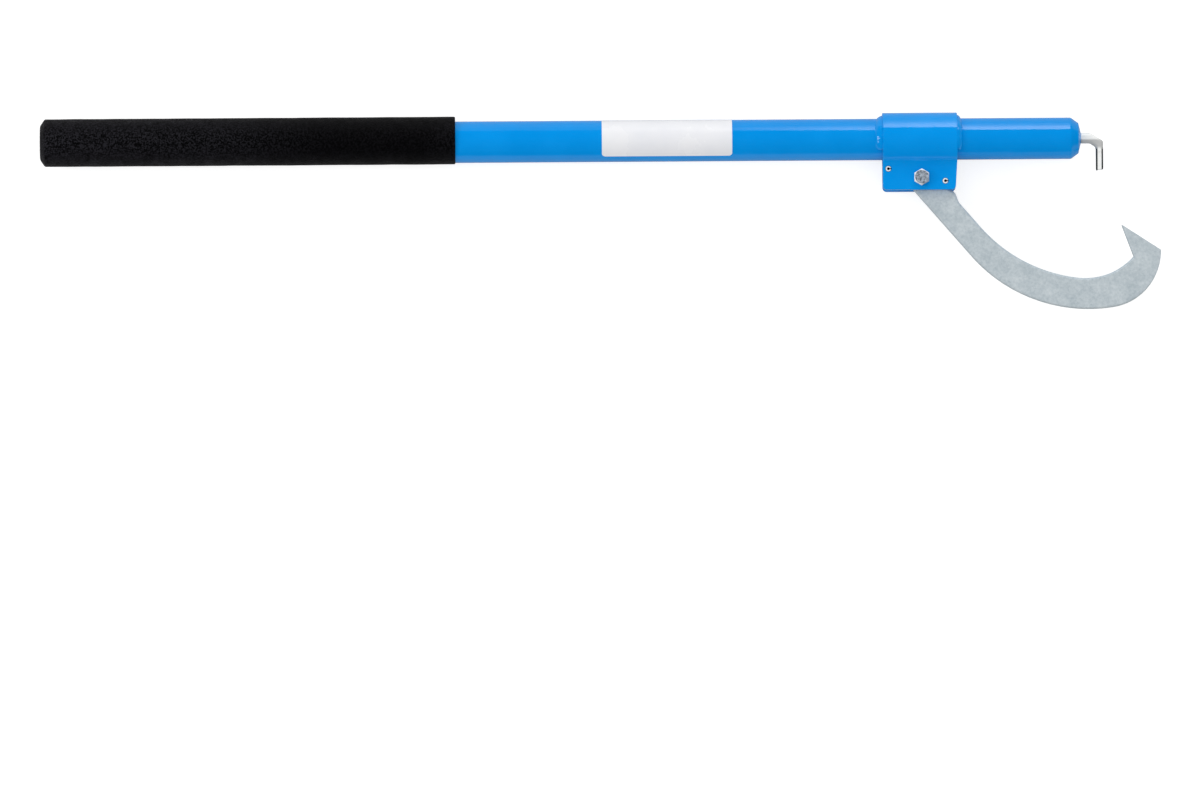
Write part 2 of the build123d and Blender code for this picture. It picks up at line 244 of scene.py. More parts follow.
def makeWeld(name, node, bead):
    low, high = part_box(node)
    outward = bead["outward"]
    face = high.x if outward < 0 else low.x
    chance = random.Random(bead["seed"])
    count = weldSet["puddles"]
    bpy.ops.mesh.primitive_uv_sphere_add(
        segments=weldSet["dropSides"], ring_count=weldSet["dropRings"], radius=1.0
    )
    first = bpy.context.object
    first.name = name
    drops = [first]
    for index in range(1, count):
        drop = first.copy()
        drop.data = first.data.copy()
        bpy.context.scene.collection.objects.link(drop)
        drops.append(drop)
    for index, drop in enumerate(drops):
        turn = radians(weldSet["endTurn"] * (2 * index / (count - 1) - 1))
        # the bead is thinnest on the side away from the ears, where it was started
        share = bead["topShare"] + (1 - bead["topShare"]) * sin(turn) ** 2
        size = share * (1 + chance.uniform(-weldSet["sizeSpread"], weldSet["sizeSpread"]))
        slide = chance.uniform(-1, 1) * weldSet["wander"]
        centre = Vector((
            face + outward * (bead["stepOut"] * share + slide),
            tubeRadius + bead["stepUp"] * share,
            0,
        ))
        shape = Matrix.Diagonal(
            (bead["wide"] * size, bead["thick"] * size, weldSet["puddleLong"], 1.0)
        )
        lean = Matrix.Rotation(radians(-outward * bead["lean"]), 4, "Z")
        spin = Matrix.Rotation(turn, 4, "X")
        drop.data.transform(spin @ Matrix.Translation(centre) @ lean @ shape)
        drop.matrix_world = Matrix.Identity(4)
    deselectAll()
    for drop in drops:
        drop.select_set(True)
    bpy.context.view_layer.objects.active = first
    bpy.ops.object.join()
    weld = bpy.context.object
    melt = weld.modifiers.new("melt", "REMESH")
    melt.mode = "VOXEL"
    melt.voxel_size = weldSet["voxel"]
    soften = weld.modifiers.new("soften", "SMOOTH")
    soften.factor = weldSet["soften"]
    soften.iterations = weldSet["softenSteps"]
    applyAll(weld)
    bpy.ops.object.shade_smooth()
    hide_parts(node)
    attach(weld, "handle")
    return weld


rearWeld = makeWeld("weld_bead_rear", "rear_weld", weldSet["rear"])
frontWeld = makeWeld("weld_bead_front", "front_weld", weldSet["front"])
print("welds modelled")


# Shared effects, as node groups

def addNode(tree, kind, place, **values):
    node = tree.nodes.new(kind)
    node.location = place
    for key, value in values.items():
        setattr(node, key, value)
    return node


def setInputs(node, **values):
    for key, value in values.items():
        node.inputs[key].default_value = value


def startGroup(name, inputs, outputs):
    tree = bpy.data.node_groups.new(name, "ShaderNodeTree")
    for label, kind, value in inputs:
        socket = tree.interface.new_socket(name=label, in_out="INPUT", socket_type=kind)
        if value is not None:
            socket.default_value = value
    for label, kind in outputs:
        tree.interface.new_socket(name=label, in_out="OUTPUT", socket_type=kind)
    enter = addNode(tree, "NodeGroupInput", (-900, 0))
    leave = addNode(tree, "NodeGroupOutput", (600, 0))
    return tree, enter, leave


def makeFineSkin():
    # a two-scale bump, from a fine noise and a coarser one
    tree, enter, leave = startGroup(
        "fineSkin",
        [("Fine Scale", "NodeSocketFloat", 900.0), ("Coarse Scale", "NodeSocketFloat", 120.0),
         ("Coarse Share", "NodeSocketFloat", 0.5)],
        [("Height", "NodeSocketFloat")],
    )
    spot = addNode(tree, "ShaderNodeTexCoord", (-900, -250))
    fine = addNode(tree, "ShaderNodeTexNoise", (-600, 150))
    coarse = addNode(tree, "ShaderNodeTexNoise", (-600, -150))
    setInputs(fine, Detail=2.0, Roughness=0.6)
    setInputs(coarse, Detail=1.0, Roughness=0.5)
    blend = addNode(tree, "ShaderNodeMix", (-200, 0), data_type="FLOAT")
    join = tree.links.new
    join(spot.outputs["Object"], fine.inputs["Vector"])
    join(spot.outputs["Object"], coarse.inputs["Vector"])
    join(enter.outputs["Fine Scale"], fine.inputs["Scale"])
    join(enter.outputs["Coarse Scale"], coarse.inputs["Scale"])
    join(enter.outputs["Coarse Share"], blend.inputs["Factor"])
    join(fine.outputs["Fac"], blend.inputs["A"])
    join(coarse.outputs["Fac"], blend.inputs["B"])
    join(blend.outputs["Result"], leave.inputs["Height"])
    return tree


def makeMottle():
    # soft blotches with a contrast control, as a mask from 0 to 1
    tree, enter, leave = startGroup(
        "mottle",
        [("Scale", "NodeSocketFloat", 60.0), ("Detail", "NodeSocketFloat", 4.0),
         ("Low", "NodeSocketFloat", 0.35), ("High", "NodeSocketFloat", 0.65)],
        [("Mask", "NodeSocketFloat")],
    )
    spot = addNode(tree, "ShaderNodeTexCoord", (-900, -250))
    cloud = addNode(tree, "ShaderNodeTexNoise", (-600, 0))
    setInputs(cloud, Roughness=0.6)
    spread = addNode(tree, "ShaderNodeMapRange", (-200, 0), clamp=True)
    join = tree.links.new
    join(spot.outputs["Object"], cloud.inputs["Vector"])
    join(enter.outputs["Scale"], cloud.inputs["Scale"])
    join(enter.outputs["Detail"], cloud.inputs["Detail"])
    join(cloud.outputs["Fac"], spread.inputs["Value"])
    join(enter.outputs["Low"], spread.inputs["From Min"])
    join(enter.outputs["High"], spread.inputs["From Max"])
    join(spread.outputs["Result"], leave.inputs["Mask"])
    return tree


def makeFacing():
    # how far the surface faces a direction, as a mask from 0 to 1
    tree, enter, leave = startGroup(
        "facing",
        [("Direction", "NodeSocketVector", None), ("Low", "NodeSocketFloat", 0.3),
         ("High", "NodeSocketFloat", 0.8)],
        [("Mask", "NodeSocketFloat")],
    )
    spot = addNode(tree, "ShaderNodeTexCoord", (-900, -250))
    dot = addNode(tree, "ShaderNodeVectorMath", (-600, 0), operation="DOT_PRODUCT")
    spread = addNode(tree, "ShaderNodeMapRange", (-200, 0), clamp=True)
    join = tree.links.new
    join(spot.outputs["Normal"], dot.inputs[0])
    join(enter.outputs["Direction"], dot.inputs[1])
    join(dot.outputs["Value"], spread.inputs["Value"])
    join(enter.outputs["Low"], spread.inputs["From Min"])
    join(enter.outputs["High"], spread.inputs["From Max"])
    join(spread.outputs["Result"], leave.inputs["Mask"])
    return tree


fineSkin = makeFineSkin()
mottle = makeMottle()
facing = makeFacing()


def startMaterial(name):
    material = bpy.data.materials.new(name)
    material.use_nodes = True
    tree = material.node_tree
    shader = tree.nodes["Principled BSDF"]
    return material, tree, shader


def addGroup(tree, group, place, **values):
    node = addNode(tree, "ShaderNodeGroup", place, node_tree=group)
    for key, value in values.items():
        node.inputs[key.replace("_", " ")].default_value = value
    return node


def twoTone(tree, mask, low, high, place):
    # mixes two colours by a mask
    mix = addNode(tree, "ShaderNodeMix", place, data_type="RGBA")
    mix.inputs["A"].default_value = (*low, 1)
    mix.inputs["B"].default_value = (*high, 1)
    tree.links.new(mask, mix.inputs["Factor"])
    return mix.outputs["Result"]


def between(tree, mask, low, high, place):
    # turns a mask into a value from low to high
    spread = addNode(tree, "ShaderNodeMapRange", place)
    setInputs(spread, **{"To Min": low, "To Max": high})
    tree.links.new(mask, spread.inputs["Value"])
    return spread.outputs["Result"]


def addBump(tree, shader, height, strength, distance):
    bump = addNode(tree, "ShaderNodeBump", (-400, -300))
    setInputs(bump, Strength=strength, Distance=distance)
    tree.links.new(height, bump.inputs["Height"])
    tree.links.new(bump.outputs["Normal"], shader.inputs["Normal"])


def addSkin(tree, shader, fine, coarse, share, strength, distance=0.5 * mm):
    # the fine unevenness of a finish, as a bump
    skin = addGroup(
        tree, fineSkin, (-800, -300), Fine_Scale=fine, Coarse_Scale=coarse, Coarse_Share=share
    )
    addBump(tree, shader, skin.outputs["Height"], strength, distance)


def maskBetween(tree, source, start, full, place):
    # a mask that is 0 at the start value and 1 at the full one
    mask = addNode(tree, "ShaderNodeMapRange", place, clamp=True)
    setInputs(mask, **{"From Min": start, "From Max": full})
    tree.links.new(source, mask.inputs["Value"])
    return mask.outputs["Result"]


def overlay(tree, colour, mask, tint, place):
    # lays one more colour over another where the mask says
    mix = addNode(tree, "ShaderNodeMix", place, data_type="RGBA")
    mix.inputs["B"].default_value = (*tint, 1)
    tree.links.new(mask, mix.inputs["Factor"])
    tree.links.new(colour, mix.inputs["A"])
    return mix.outputs["Result"]


paintSet = {
    "colour": (0.0, 0.276, 0.768),
    "colourWorn": (0.0, 0.294, 0.803),
    "roughLow": 0.08,
    "roughHigh": 0.11,
    "specular": 0.42,
    "patchScale": 38.0,
    "peelDepth": 0.6 * mm,
    "tube": {"name": "bluePowderCoat", "peel": 0.10, "coarse": 190.0, "paintedLightLift": 1.0},
    # the saddle's copy of the paint is 4% paler than the tube's: painted light, not a different
    # coat
    "saddle": {"name": "bluePowderCoatSaddle", "peel": 0.16, "coarse": 150.0, "paintedLightLift": 1.04},
    "weld": {"name": "bluePowderCoatWeld", "peel": 0.30, "coarse": 260.0, "paintedLightLift": 1.0},
}


def makePaint(coat):
    material, tree, shader = startMaterial(coat["name"])
    patches = addGroup(tree, mottle, (-800, 200), Scale=paintSet["patchScale"], Detail=3.0)
    # a coat's colours are scaled by its lift, a painted light that makes lit copies of one paint
    low, high = (
        tuple(part * coat["paintedLightLift"] for part in paintSet[key]) for key in ("colour", "colourWorn")
    )
    colour = twoTone(tree, patches.outputs["Mask"], low, high, (-400, 250))
    tree.links.new(colour, shader.inputs["Base Color"])
    rough = between(
        tree, patches.outputs["Mask"], paintSet["roughLow"], paintSet["roughHigh"], (-400, 0)
    )
    tree.links.new(rough, shader.inputs["Roughness"])
    addSkin(tree, shader, 700.0, coat["coarse"], 0.8, coat["peel"], paintSet["peelDepth"])
    setInputs(shader, **{"Specular IOR Level": paintSet["specular"]})
    return material


tubePaint = makePaint(paintSet["tube"])
saddlePaint = makePaint(paintSet["saddle"])
weldPaint = makePaint(paintSet["weld"])


foamSet = {
    "deep": (0.0007, 0.0006, 0.0011),
    # the pale colour is reached by random skin tone and by painted light along the grip
    "paleAndLitSkin": (0.0200, 0.0192, 0.0245),
    "paintedLightAlongGrip": ((0.0, 1.0), (0.15, 0.85), (0.45, 0.68), (0.68, 0.22), (0.92, 0.20), (1.0, 0.42)),
    "cellScale": 900.0,
    # how much the fine speckle shows, low on the sides and high on faces turned up: a painted
    # glint
    "glintShareLow": 0.50,
    "glintShareHigh": 0.95,
    "roughest": 0.62,
    "smoothest": 0.42,
    "bump": 0.5,
    "bumpDepth": 0.6 * mm,
    "specular": 0.07,
}


def makeFoam():
    gripLow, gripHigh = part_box("foam_grip")
    material, tree, shader = startMaterial("closedCellFoam")
    spot = addNode(tree, "ShaderNodeTexCoord", (-1300, 0))
    cells = addNode(tree, "ShaderNodeTexVoronoi", (-1000, -200))
    setInputs(cells, Scale=foamSet["cellScale"])
    tree.links.new(spot.outputs["Object"], cells.inputs["Vector"])
    worn = addGroup(tree, mottle, (-1000, 200), Scale=150.0, Detail=2.0, Low=0.25, High=0.80)
    wrinkles = addGroup(tree, mottle, (-1000, 450), Scale=760.0, Detail=3.0, Low=0.45, High=0.60)
    # fine cells show most on faces turned up: a painted glint, where light would catch the skin
    glintFacing = addGroup(
        tree, facing, (-1000, 950), Direction=(0.0, 0.0, 1.0), Low=0.70, High=0.99
    )
    speckleAndGlint = addNode(tree, "ShaderNodeMix", (-750, 350), data_type="FLOAT")
    paintedGlintShare = between(
        tree, glintFacing.outputs["Mask"], foamSet["glintShareLow"], foamSet["glintShareHigh"], (-850, 950)
    )
    tree.links.new(paintedGlintShare, speckleAndGlint.inputs["Factor"])
    tree.links.new(worn.outputs["Mask"], speckleAndGlint.inputs["A"])
    tree.links.new(wrinkles.outputs["Mask"], speckleAndGlint.inputs["B"])
    # painted light along the grip: the skin is painted palest at the butt, darkest in the middle
    # and a little paler at the mouth
    split = addNode(tree, "ShaderNodeSeparateXYZ", (-1100, 700))
    tree.links.new(spot.outputs["Object"], split.inputs["Vector"])
    along = addNode(tree, "ShaderNodeMapRange", (-950, 700))
    setInputs(along, **{"From Min": gripLow.x, "From Max": gripHigh.x})
    tree.links.new(split.outputs["X"], along.inputs["Value"])
    paintedLightRamp = addNode(tree, "ShaderNodeValToRGB", (-750, 700))
    stops = paintedLightRamp.color_ramp.elements
    stops[0].color = (*[foamSet["paintedLightAlongGrip"][0][1]] * 3, 1)
    for position, level in foamSet["paintedLightAlongGrip"][1:-1]:
        stops.new(position).color = (level, level, level, 1)
    stops[-1].color = (*[foamSet["paintedLightAlongGrip"][-1][1]] * 3, 1)
    tree.links.new(along.outputs["Result"], paintedLightRamp.inputs["Fac"])
    paleAndLitShare = addNode(tree, "ShaderNodeMath", (-600, 500), operation="MULTIPLY")
    tree.links.new(speckleAndGlint.outputs["Result"], paleAndLitShare.inputs[0])
    tree.links.new(paintedLightRamp.outputs["Color"], paleAndLitShare.inputs[1])
    colour = twoTone(
        tree, paleAndLitShare.outputs["Value"], foamSet["deep"], foamSet["paleAndLitSkin"], (-500, 250)
    )
    tree.links.new(colour, shader.inputs["Base Color"])
    skin = addGroup(
        tree, fineSkin, (-1000, -450), Fine_Scale=1500.0, Coarse_Scale=420.0, Coarse_Share=0.5
    )
    rise = addNode(tree, "ShaderNodeMath", (-650, -300), operation="ADD")
    tree.links.new(cells.outputs["Distance"], rise.inputs[0])
    tree.links.new(skin.outputs["Height"], rise.inputs[1])
    rough = between(
        tree, worn.outputs["Mask"], foamSet["roughest"], foamSet["smoothest"], (-500, 0)
    )
    tree.links.new(rough, shader.inputs["Roughness"])
    addBump(tree, shader, rise.outputs["Value"], foamSet["bump"], foamSet["bumpDepth"])
    setInputs(shader, **{"Specular IOR Level": foamSet["specular"]})
    return material


foam = makeFoam()


hookSet = {
    "low": (0.435, 0.515, 0.56),
    "high": (0.705, 0.775, 0.81),
    "patchScale": 95.0,
    "spotScale": 520.0,
    "roughest": 0.62,
    "smoothest": 0.48,
    "bump": 0.12,
    "metal": 0.15,
}


def makeZinc(name):
    # two sizes of crystal patches in the plating
    material, tree, shader = startMaterial(name)
    patches = addGroup(
        tree, mottle, (-1000, 300), Scale=hookSet["patchScale"], Detail=5.0, Low=0.3, High=0.7
    )
    fineSpots = addGroup(
        tree, mottle, (-1000, 50), Scale=hookSet["spotScale"], Detail=2.0, Low=0.3, High=0.7
    )
    mixed = addNode(tree, "ShaderNodeMix", (-750, 200), data_type="FLOAT")
    setInputs(mixed, Factor=0.5)
    tree.links.new(patches.outputs["Mask"], mixed.inputs["A"])
    tree.links.new(fineSpots.outputs["Mask"], mixed.inputs["B"])
    mask = mixed.outputs["Result"]
    colour = twoTone(tree, mask, hookSet["low"], hookSet["high"], (-400, 250))
    tree.links.new(colour, shader.inputs["Base Color"])
    rough = between(tree, mask, hookSet["roughest"], hookSet["smoothest"], (-400, 0))
    tree.links.new(rough, shader.inputs["Roughness"])
    addSkin(tree, shader, 1100.0, 260.0, 0.4, hookSet["bump"])
    setInputs(shader, Metallic=hookSet["metal"])
    return material


hookZinc = makeZinc("zincPlateMottled")

# Bolts, nuts and washers: the head's sloped corners and sides get a painted highlight, and the
# side turned from the light gets a painted shade
boltSet = {
    "plain": {
        "name": "brightZincBolt", "low": (0.18, 0.205, 0.25), "high": (0.62, 0.72, 0.84),
        "scale": 900.0, "metal": 0.35, "paintedLight": (),
    },
    "head": {
        "name": "brightZincHead", "low": (0.05, 0.065, 0.09), "high": (0.58, 0.66, 0.76),
        "scale": 700.0, "metal": 0.10, "paintedLight": (
            # painted highlight on the sloped corners and sides, then painted shade on the side
            # turned from the light
            ((0.0, 0.0, -1.0), -0.985, -0.90, (0.97, 0.985, 0.99)),
            ((0.85, -0.52, 0.0), 0.15, 0.42, (0.30, 0.38, 0.46)),
        ),
    },
    "smoothest": 0.22,
    "roughest": 0.34,
    "bump": 0.10,
}


def makeBright(kind):
    # each painted-light tint colours the faces that turn to its direction, as a painted highlight
    # or a painted shade
    material, tree, shader = startMaterial(kind["name"])
    patches = addGroup(
        tree, mottle, (-900, 200), Scale=kind["scale"], Detail=5.0, Low=0.3, High=0.7
    )
    mask = patches.outputs["Mask"]
    colour = twoTone(tree, mask, kind["low"], kind["high"], (-400, 250))
    for index, (direction, start, full, tint) in enumerate(kind["paintedLight"]):
        paintedLightFaces = addGroup(
            tree, facing, (-700, 450 + 200 * index), Direction=direction, Low=start, High=full
        )
        colour = overlay(tree, colour, paintedLightFaces.outputs["Mask"], tint, (-150 + 150 * index, 450))
    tree.links.new(colour, shader.inputs["Base Color"])
    rough = between(tree, mask, boltSet["smoothest"], boltSet["roughest"], (-400, 0))
    tree.links.new(rough, shader.inputs["Roughness"])
    addSkin(tree, shader, 1600.0, 500.0, 0.5, boltSet["bump"])
    setInputs(shader, Metallic=kind["metal"])
    return material


boltZinc = makeBright(boltSet["plain"])
headZinc = makeBright(boltSet["head"])


clawSet = {
    # the near-white base is bright plated steel lifted to a painted reflection of the light
    # overhead
    "low": (0.90, 0.92, 0.90),
    "high": (0.985, 0.99, 0.98),
    "flank": (0.035, 0.038, 0.040),
    "under": (0.52, 0.525, 0.52),
    "dropHalf": 2.85 * mm,
    "flankFade": (1.25 * mm, 1.75 * mm),
    "dropFade": (-6.5 * mm, -9.0 * mm),
    "underFade": (-0.5 * mm, -1.9 * mm),
    "patchScale": 500.0,
    "smoothest": 0.16,
    "roughest": 0.26,
    "bump": 0.05,
}


def makeClawSteel(name):
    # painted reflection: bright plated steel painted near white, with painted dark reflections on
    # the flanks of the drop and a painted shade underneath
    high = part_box("toe_claw")[1]
    material, tree, shader = startMaterial(name)
    join = tree.links.new
    spot = addNode(tree, "ShaderNodeTexCoord", (-1500, 0))
    split = addNode(tree, "ShaderNodeSeparateXYZ", (-1300, 0))
    join(spot.outputs["Object"], split.inputs["Vector"])
    aside = addNode(tree, "ShaderNodeMath", (-1100, 100), operation="SUBTRACT")
    aside.inputs[1].default_value = high.x - clawSet["dropHalf"]
    apart = addNode(tree, "ShaderNodeMath", (-950, 100), operation="ABSOLUTE")
    join(split.outputs["X"], aside.inputs[0])
    join(aside.outputs["Value"], apart.inputs[0])
    beside = maskBetween(tree, apart.outputs["Value"], *clawSet["flankFade"], (-800, 200))
    inDrop = maskBetween(tree, split.outputs["Y"], *clawSet["dropFade"], (-800, 0))
    below = maskBetween(tree, split.outputs["Y"], *clawSet["underFade"], (-800, -200))
    flank = addNode(tree, "ShaderNodeMath", (-600, 150), operation="MULTIPLY")
    join(beside, flank.inputs[0])
    join(inDrop, flank.inputs[1])
    above = addNode(tree, "ShaderNodeMath", (-600, -50), operation="SUBTRACT")
    above.inputs[0].default_value = 1.0
    join(inDrop, above.inputs[1])
    under = addNode(tree, "ShaderNodeMath", (-450, -150), operation="MULTIPLY")
    join(below, under.inputs[0])
    join(above.outputs["Value"], under.inputs[1])
    patches = addGroup(
        tree, mottle, (-900, 500), Scale=clawSet["patchScale"], Detail=5.0, Low=0.3, High=0.7
    )
    mask = patches.outputs["Mask"]
    colour = twoTone(tree, mask, clawSet["low"], clawSet["high"], (-600, 450))
    # painted shade under the bar, then painted dark reflections down the drop's flanks
    colour = overlay(tree, colour, under.outputs["Value"], clawSet["under"], (-400, 450))
    colour = overlay(tree, colour, flank.outputs["Value"], clawSet["flank"], (-200, 450))
    join(colour, shader.inputs["Base Color"])
    rough = between(tree, mask, clawSet["smoothest"], clawSet["roughest"], (-400, 0))
    join(rough, shader.inputs["Roughness"])
    addSkin(tree, shader, 1600.0, 500.0, 0.5, clawSet["bump"])
    return material


clawSteel = makeClawSteel("clawSteelPaintedReflection")


# Stop pins: bright plated end faces lifted near white as a painted highlight, a painted shade in
# the bore and a painted shadow line round the outside
pinSet = {
    "low": (0.70, 0.75, 0.81),
    "high": (0.95, 0.97, 0.99),
    # painted shade in the bore, then a painted shadow line round the rim
    "bore": (0.004, 0.005, 0.012),
    "rimShadow": (0.03, 0.07, 0.16),
    "boreShare": 0.46,
    "rimShare": 0.88,
    "fadeShare": 0.04,
    "patchScale": 700.0,
    "faceRough": 0.30,
    "boreRough": 1.0,
    "bump": 0.06,
}


def makePinSteel(name, node):
    # the colours go by the distance from the pin's axis
    low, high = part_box(node)
    radius = (high.x - low.x) / 2
    middle = Vector(((low.x + high.x) / 2, (low.y + high.y) / 2, 0))
    material, tree, shader = startMaterial(name)
    join = tree.links.new
    spot = addNode(tree, "ShaderNodeTexCoord", (-1400, 0))
    flat = addNode(tree, "ShaderNodeVectorMath", (-1200, 0), operation="MULTIPLY")
    flat.inputs[1].default_value = (1, 1, 0)
    reach = addNode(tree, "ShaderNodeVectorMath", (-1000, 0), operation="DISTANCE")
    reach.inputs[1].default_value = middle
    join(spot.outputs["Object"], flat.inputs[0])
    join(flat.outputs["Vector"], reach.inputs[0])
    fromAxis = reach.outputs["Value"]
    fade = radius * pinSet["fadeShare"]
    boreEdge = radius * pinSet["boreShare"]
    rimEdge = radius * pinSet["rimShare"]
    bore = maskBetween(tree, fromAxis, boreEdge + fade, boreEdge - fade, (-800, 200))
    rimShadow = maskBetween(tree, fromAxis, rimEdge - fade, rimEdge + fade, (-800, -200))
    patches = addGroup(
        tree, mottle, (-900, 500), Scale=pinSet["patchScale"], Detail=3.0, Low=0.3, High=0.7
    )
    colour = twoTone(tree, patches.outputs["Mask"], pinSet["low"], pinSet["high"], (-600, 450))
    colour = overlay(tree, colour, rimShadow, pinSet["rimShadow"], (-400, 450))
    colour = overlay(tree, colour, bore, pinSet["bore"], (-200, 450))
    join(colour, shader.inputs["Base Color"])
    rough = between(tree, bore, pinSet["faceRough"], pinSet["boreRough"], (-400, 0))
    join(rough, shader.inputs["Roughness"])
    addSkin(tree, shader, 1600.0, 500.0, 0.5, pinSet["bump"])
    return material


# Label film and the plastic pieces
plainSet = {
    "label": {
        "name": "blankLabelFilm", "low": (0.82, 0.83, 0.87), "high": (0.87, 0.875, 0.90),
        "smoothest": 0.22, "roughest": 0.30, "scale": 30.0, "bump": 0.03,
    },
    "nylon": {
        "name": "whiteNylon", "low": (0.72, 0.71, 0.66), "high": (0.78, 0.77, 0.73),
        "smoothest": 0.40, "roughest": 0.50, "scale": 400.0, "bump": 0.05,
    },
    "plug": {
        "name": "blackPlugPlastic", "low": (0.012, 0.012, 0.013), "high": (0.02, 0.02, 0.021),
        "smoothest": 0.40, "roughest": 0.55, "scale": 90.0, "bump": 0.08,
    },
}


def makePlain(kind):
    material, tree, shader = startMaterial(kind["name"])
    patches = addGroup(tree, mottle, (-900, 200), Scale=kind["scale"], Detail=4.0)
    mask = patches.outputs["Mask"]
    colour = twoTone(tree, mask, kind["low"], kind["high"], (-400, 250))
    tree.links.new(colour, shader.inputs["Base Color"])
    rough = between(tree, mask, kind["smoothest"], kind["roughest"], (-400, 0))
    tree.links.new(rough, shader.inputs["Roughness"])
    addSkin(tree, shader, 1300.0, 180.0, 0.6, kind["bump"])
    return material


finishes = {
    "handle_tube": tubePaint,
    "nose_plug": tubePaint,
    "saddle": saddlePaint,
    "log_hook": hookZinc,
    "pivot_bolt": headZinc,
    "pivot_washer": boltZinc,
    "pivot_nut": boltZinc,
    "toe_nut": boltZinc,
    "toe_lock_washer": boltZinc,
    "nut_insert": makePlain(plainSet["nylon"]),
    "front_stop_pin": makePinSteel("springSteelFront", "front_stop_pin"),
    "rear_stop_pin": makePinSteel("springSteelRear", "rear_stop_pin"),
    "toe_claw": clawSteel,
    "label": makePlain(plainSet["label"]),
    "butt_plug": makePlain(plainSet["plug"]),
}


def dress(piece, material):
    piece.data.materials.clear()
    piece.data.materials.append(material)


for nodeName, material in finishes.items():
    dress(nodes[nodeName], material)
dress(grip, foam)
for weld in (rearWeld, frontWeld):
    dress(weld, weldPaint)
print("materials placed")


# Floor, lamps and world: a white ground, an upright softbox and a dim card behind the handle,
# and a small softbox off the butt

stageSet = {
    "floorSize": 60.0,
    "floorShade": 0.52,
    "floorGlowSeen": 0.72,
    "floorGlowInGloss": 0.04,
    "fill": 0.82,
    "skyLow": 0.0,
    "skyHigh": 0.11,
    "horizon": 0.40,
    "zenith": 0.01,
    "backPlace": (0.88, 1.5, 0.74),
    "backTarget": (0.88, 0.0, 0.74),
    "backWide": 0.80,
    "backHigh": 1.32,
    "backPower": 12.5,
    "backSideways": (1.0, 0.62, 0.02, 1.0),
    "backUpright": (0.10, 0.75, 0.15, 1.0),
    "cardPlace": (0.35, 1.6, 0.46),
    "cardTarget": (0.35, 0.0, 0.46),
    "cardWide": 1.9,
    "cardHigh": 0.92,
    "cardPower": 2.6,
    "buttPlace": (-1.1, 0.0, 1.0),
    "buttTarget": (0.3, 0.0, 0.0),
    "buttWide": 0.6,
    "buttPower": 6.0,
}


def makeFloor():
    bpy.ops.mesh.primitive_plane_add(size=stageSet["floorSize"], location=(0, 0, cadLow.z))
    floor = bpy.context.object
    floor.name = "studio_floor"
    material, tree, shader = startMaterial("studioFloor")
    shade = stageSet["floorShade"]
    setInputs(shader, **{"Base Color": (shade, shade, shade, 1), "Roughness": 0.9})
    setInputs(shader, **{"Emission Color": (1, 1, 1, 1)})
    path = addNode(tree, "ShaderNodeLightPath", (-900, 300))
    seen = addNode(tree, "ShaderNodeMath", (-600, 400), operation="MULTIPLY")
    seen.inputs[1].default_value = stageSet["floorGlowSeen"]
    mirrored = addNode(tree, "ShaderNodeMath", (-600, 200), operation="MAXIMUM")
    dimmed = addNode(tree, "ShaderNodeMath", (-400, 200), operation="MULTIPLY")
    dimmed.inputs[1].default_value = stageSet["floorGlowInGloss"]
    glow = addNode(tree, "ShaderNodeMath", (-200, 300), operation="ADD")
    join = tree.links.new
    join(path.outputs["Is Camera Ray"], seen.inputs[0])
    join(path.outputs["Is Glossy Ray"], mirrored.inputs[0])
    join(path.outputs["Is Transmission Ray"], mirrored.inputs[1])
    join(mirrored.outputs["Value"], dimmed.inputs[0])
    join(seen.outputs["Value"], glow.inputs[0])
    join(dimmed.outputs["Value"], glow.inputs[1])
    join(glow.outputs["Value"], shader.inputs["Emission Strength"])
    floor.data.materials.append(material)


def aimAt(thing, place, target):
    thing.location = place
    thing.rotation_euler = (Vector(target) - Vector(place)).to_track_quat("-Z", "Y").to_euler()


def makeSoftbox(name, shape, place, target, wide, high, power):
    light = bpy.data.lights.new(name, "AREA")
    light.shape = shape
    light.size = wide
    light.size_y = high
    light.energy = power
    lamp = bpy.data.objects.new(name, light)
    bpy.context.scene.collection.objects.link(lamp)
    aimAt(lamp, place, target)
    return lamp


def shapeGlow(lamp, sideways, upright):
    # the lit cloth fades to one side and downwards, as over a real flash head: each pair is
    # where the fade starts and ends, then the glow at both
    lamp.data.use_nodes = True
    tree = lamp.data.node_tree
    bulb = tree.nodes["Emission"]
    spot = addNode(tree, "ShaderNodeNewGeometry", (-900, 0))
    split = addNode(tree, "ShaderNodeSeparateXYZ", (-700, 0))
    join = tree.links.new
    join(spot.outputs["Parametric"], split.inputs["Vector"])
    shares = []
    for axis, (start, end, low, high), place in (("X", sideways, 150), ("Y", upright, -150)):
        share = addNode(
            tree, "ShaderNodeMapRange", (-500, place), interpolation_type="SMOOTHSTEP", clamp=True
        )
        setInputs(share, **{"From Min": start, "From Max": end, "To Min": low, "To Max": high})
        join(split.outputs[axis], share.inputs["Value"])
        shares.append(share.outputs["Result"])
    both = addNode(tree, "ShaderNodeMath", (-250, 0), operation="MULTIPLY")
    join(shares[0], both.inputs[0])
    join(shares[1], both.inputs[1])
    join(both.outputs["Value"], bulb.inputs["Strength"])


makeFloor()
backSoftbox = makeSoftbox(
    "backSoftbox", "ELLIPSE", stageSet["backPlace"], stageSet["backTarget"], stageSet["backWide"],
    stageSet["backHigh"], stageSet["backPower"],
)
shapeGlow(backSoftbox, stageSet["backSideways"], stageSet["backUpright"])
makeSoftbox(
    "backCard", "RECTANGLE", stageSet["cardPlace"], stageSet["cardTarget"], stageSet["cardWide"],
    stageSet["cardHigh"], stageSet["cardPower"],
)
makeSoftbox(
    "buttSoftbox", "ELLIPSE", stageSet["buttPlace"], stageSet["buttTarget"], stageSet["buttWide"],
    stageSet["buttWide"], stageSet["buttPower"],
)


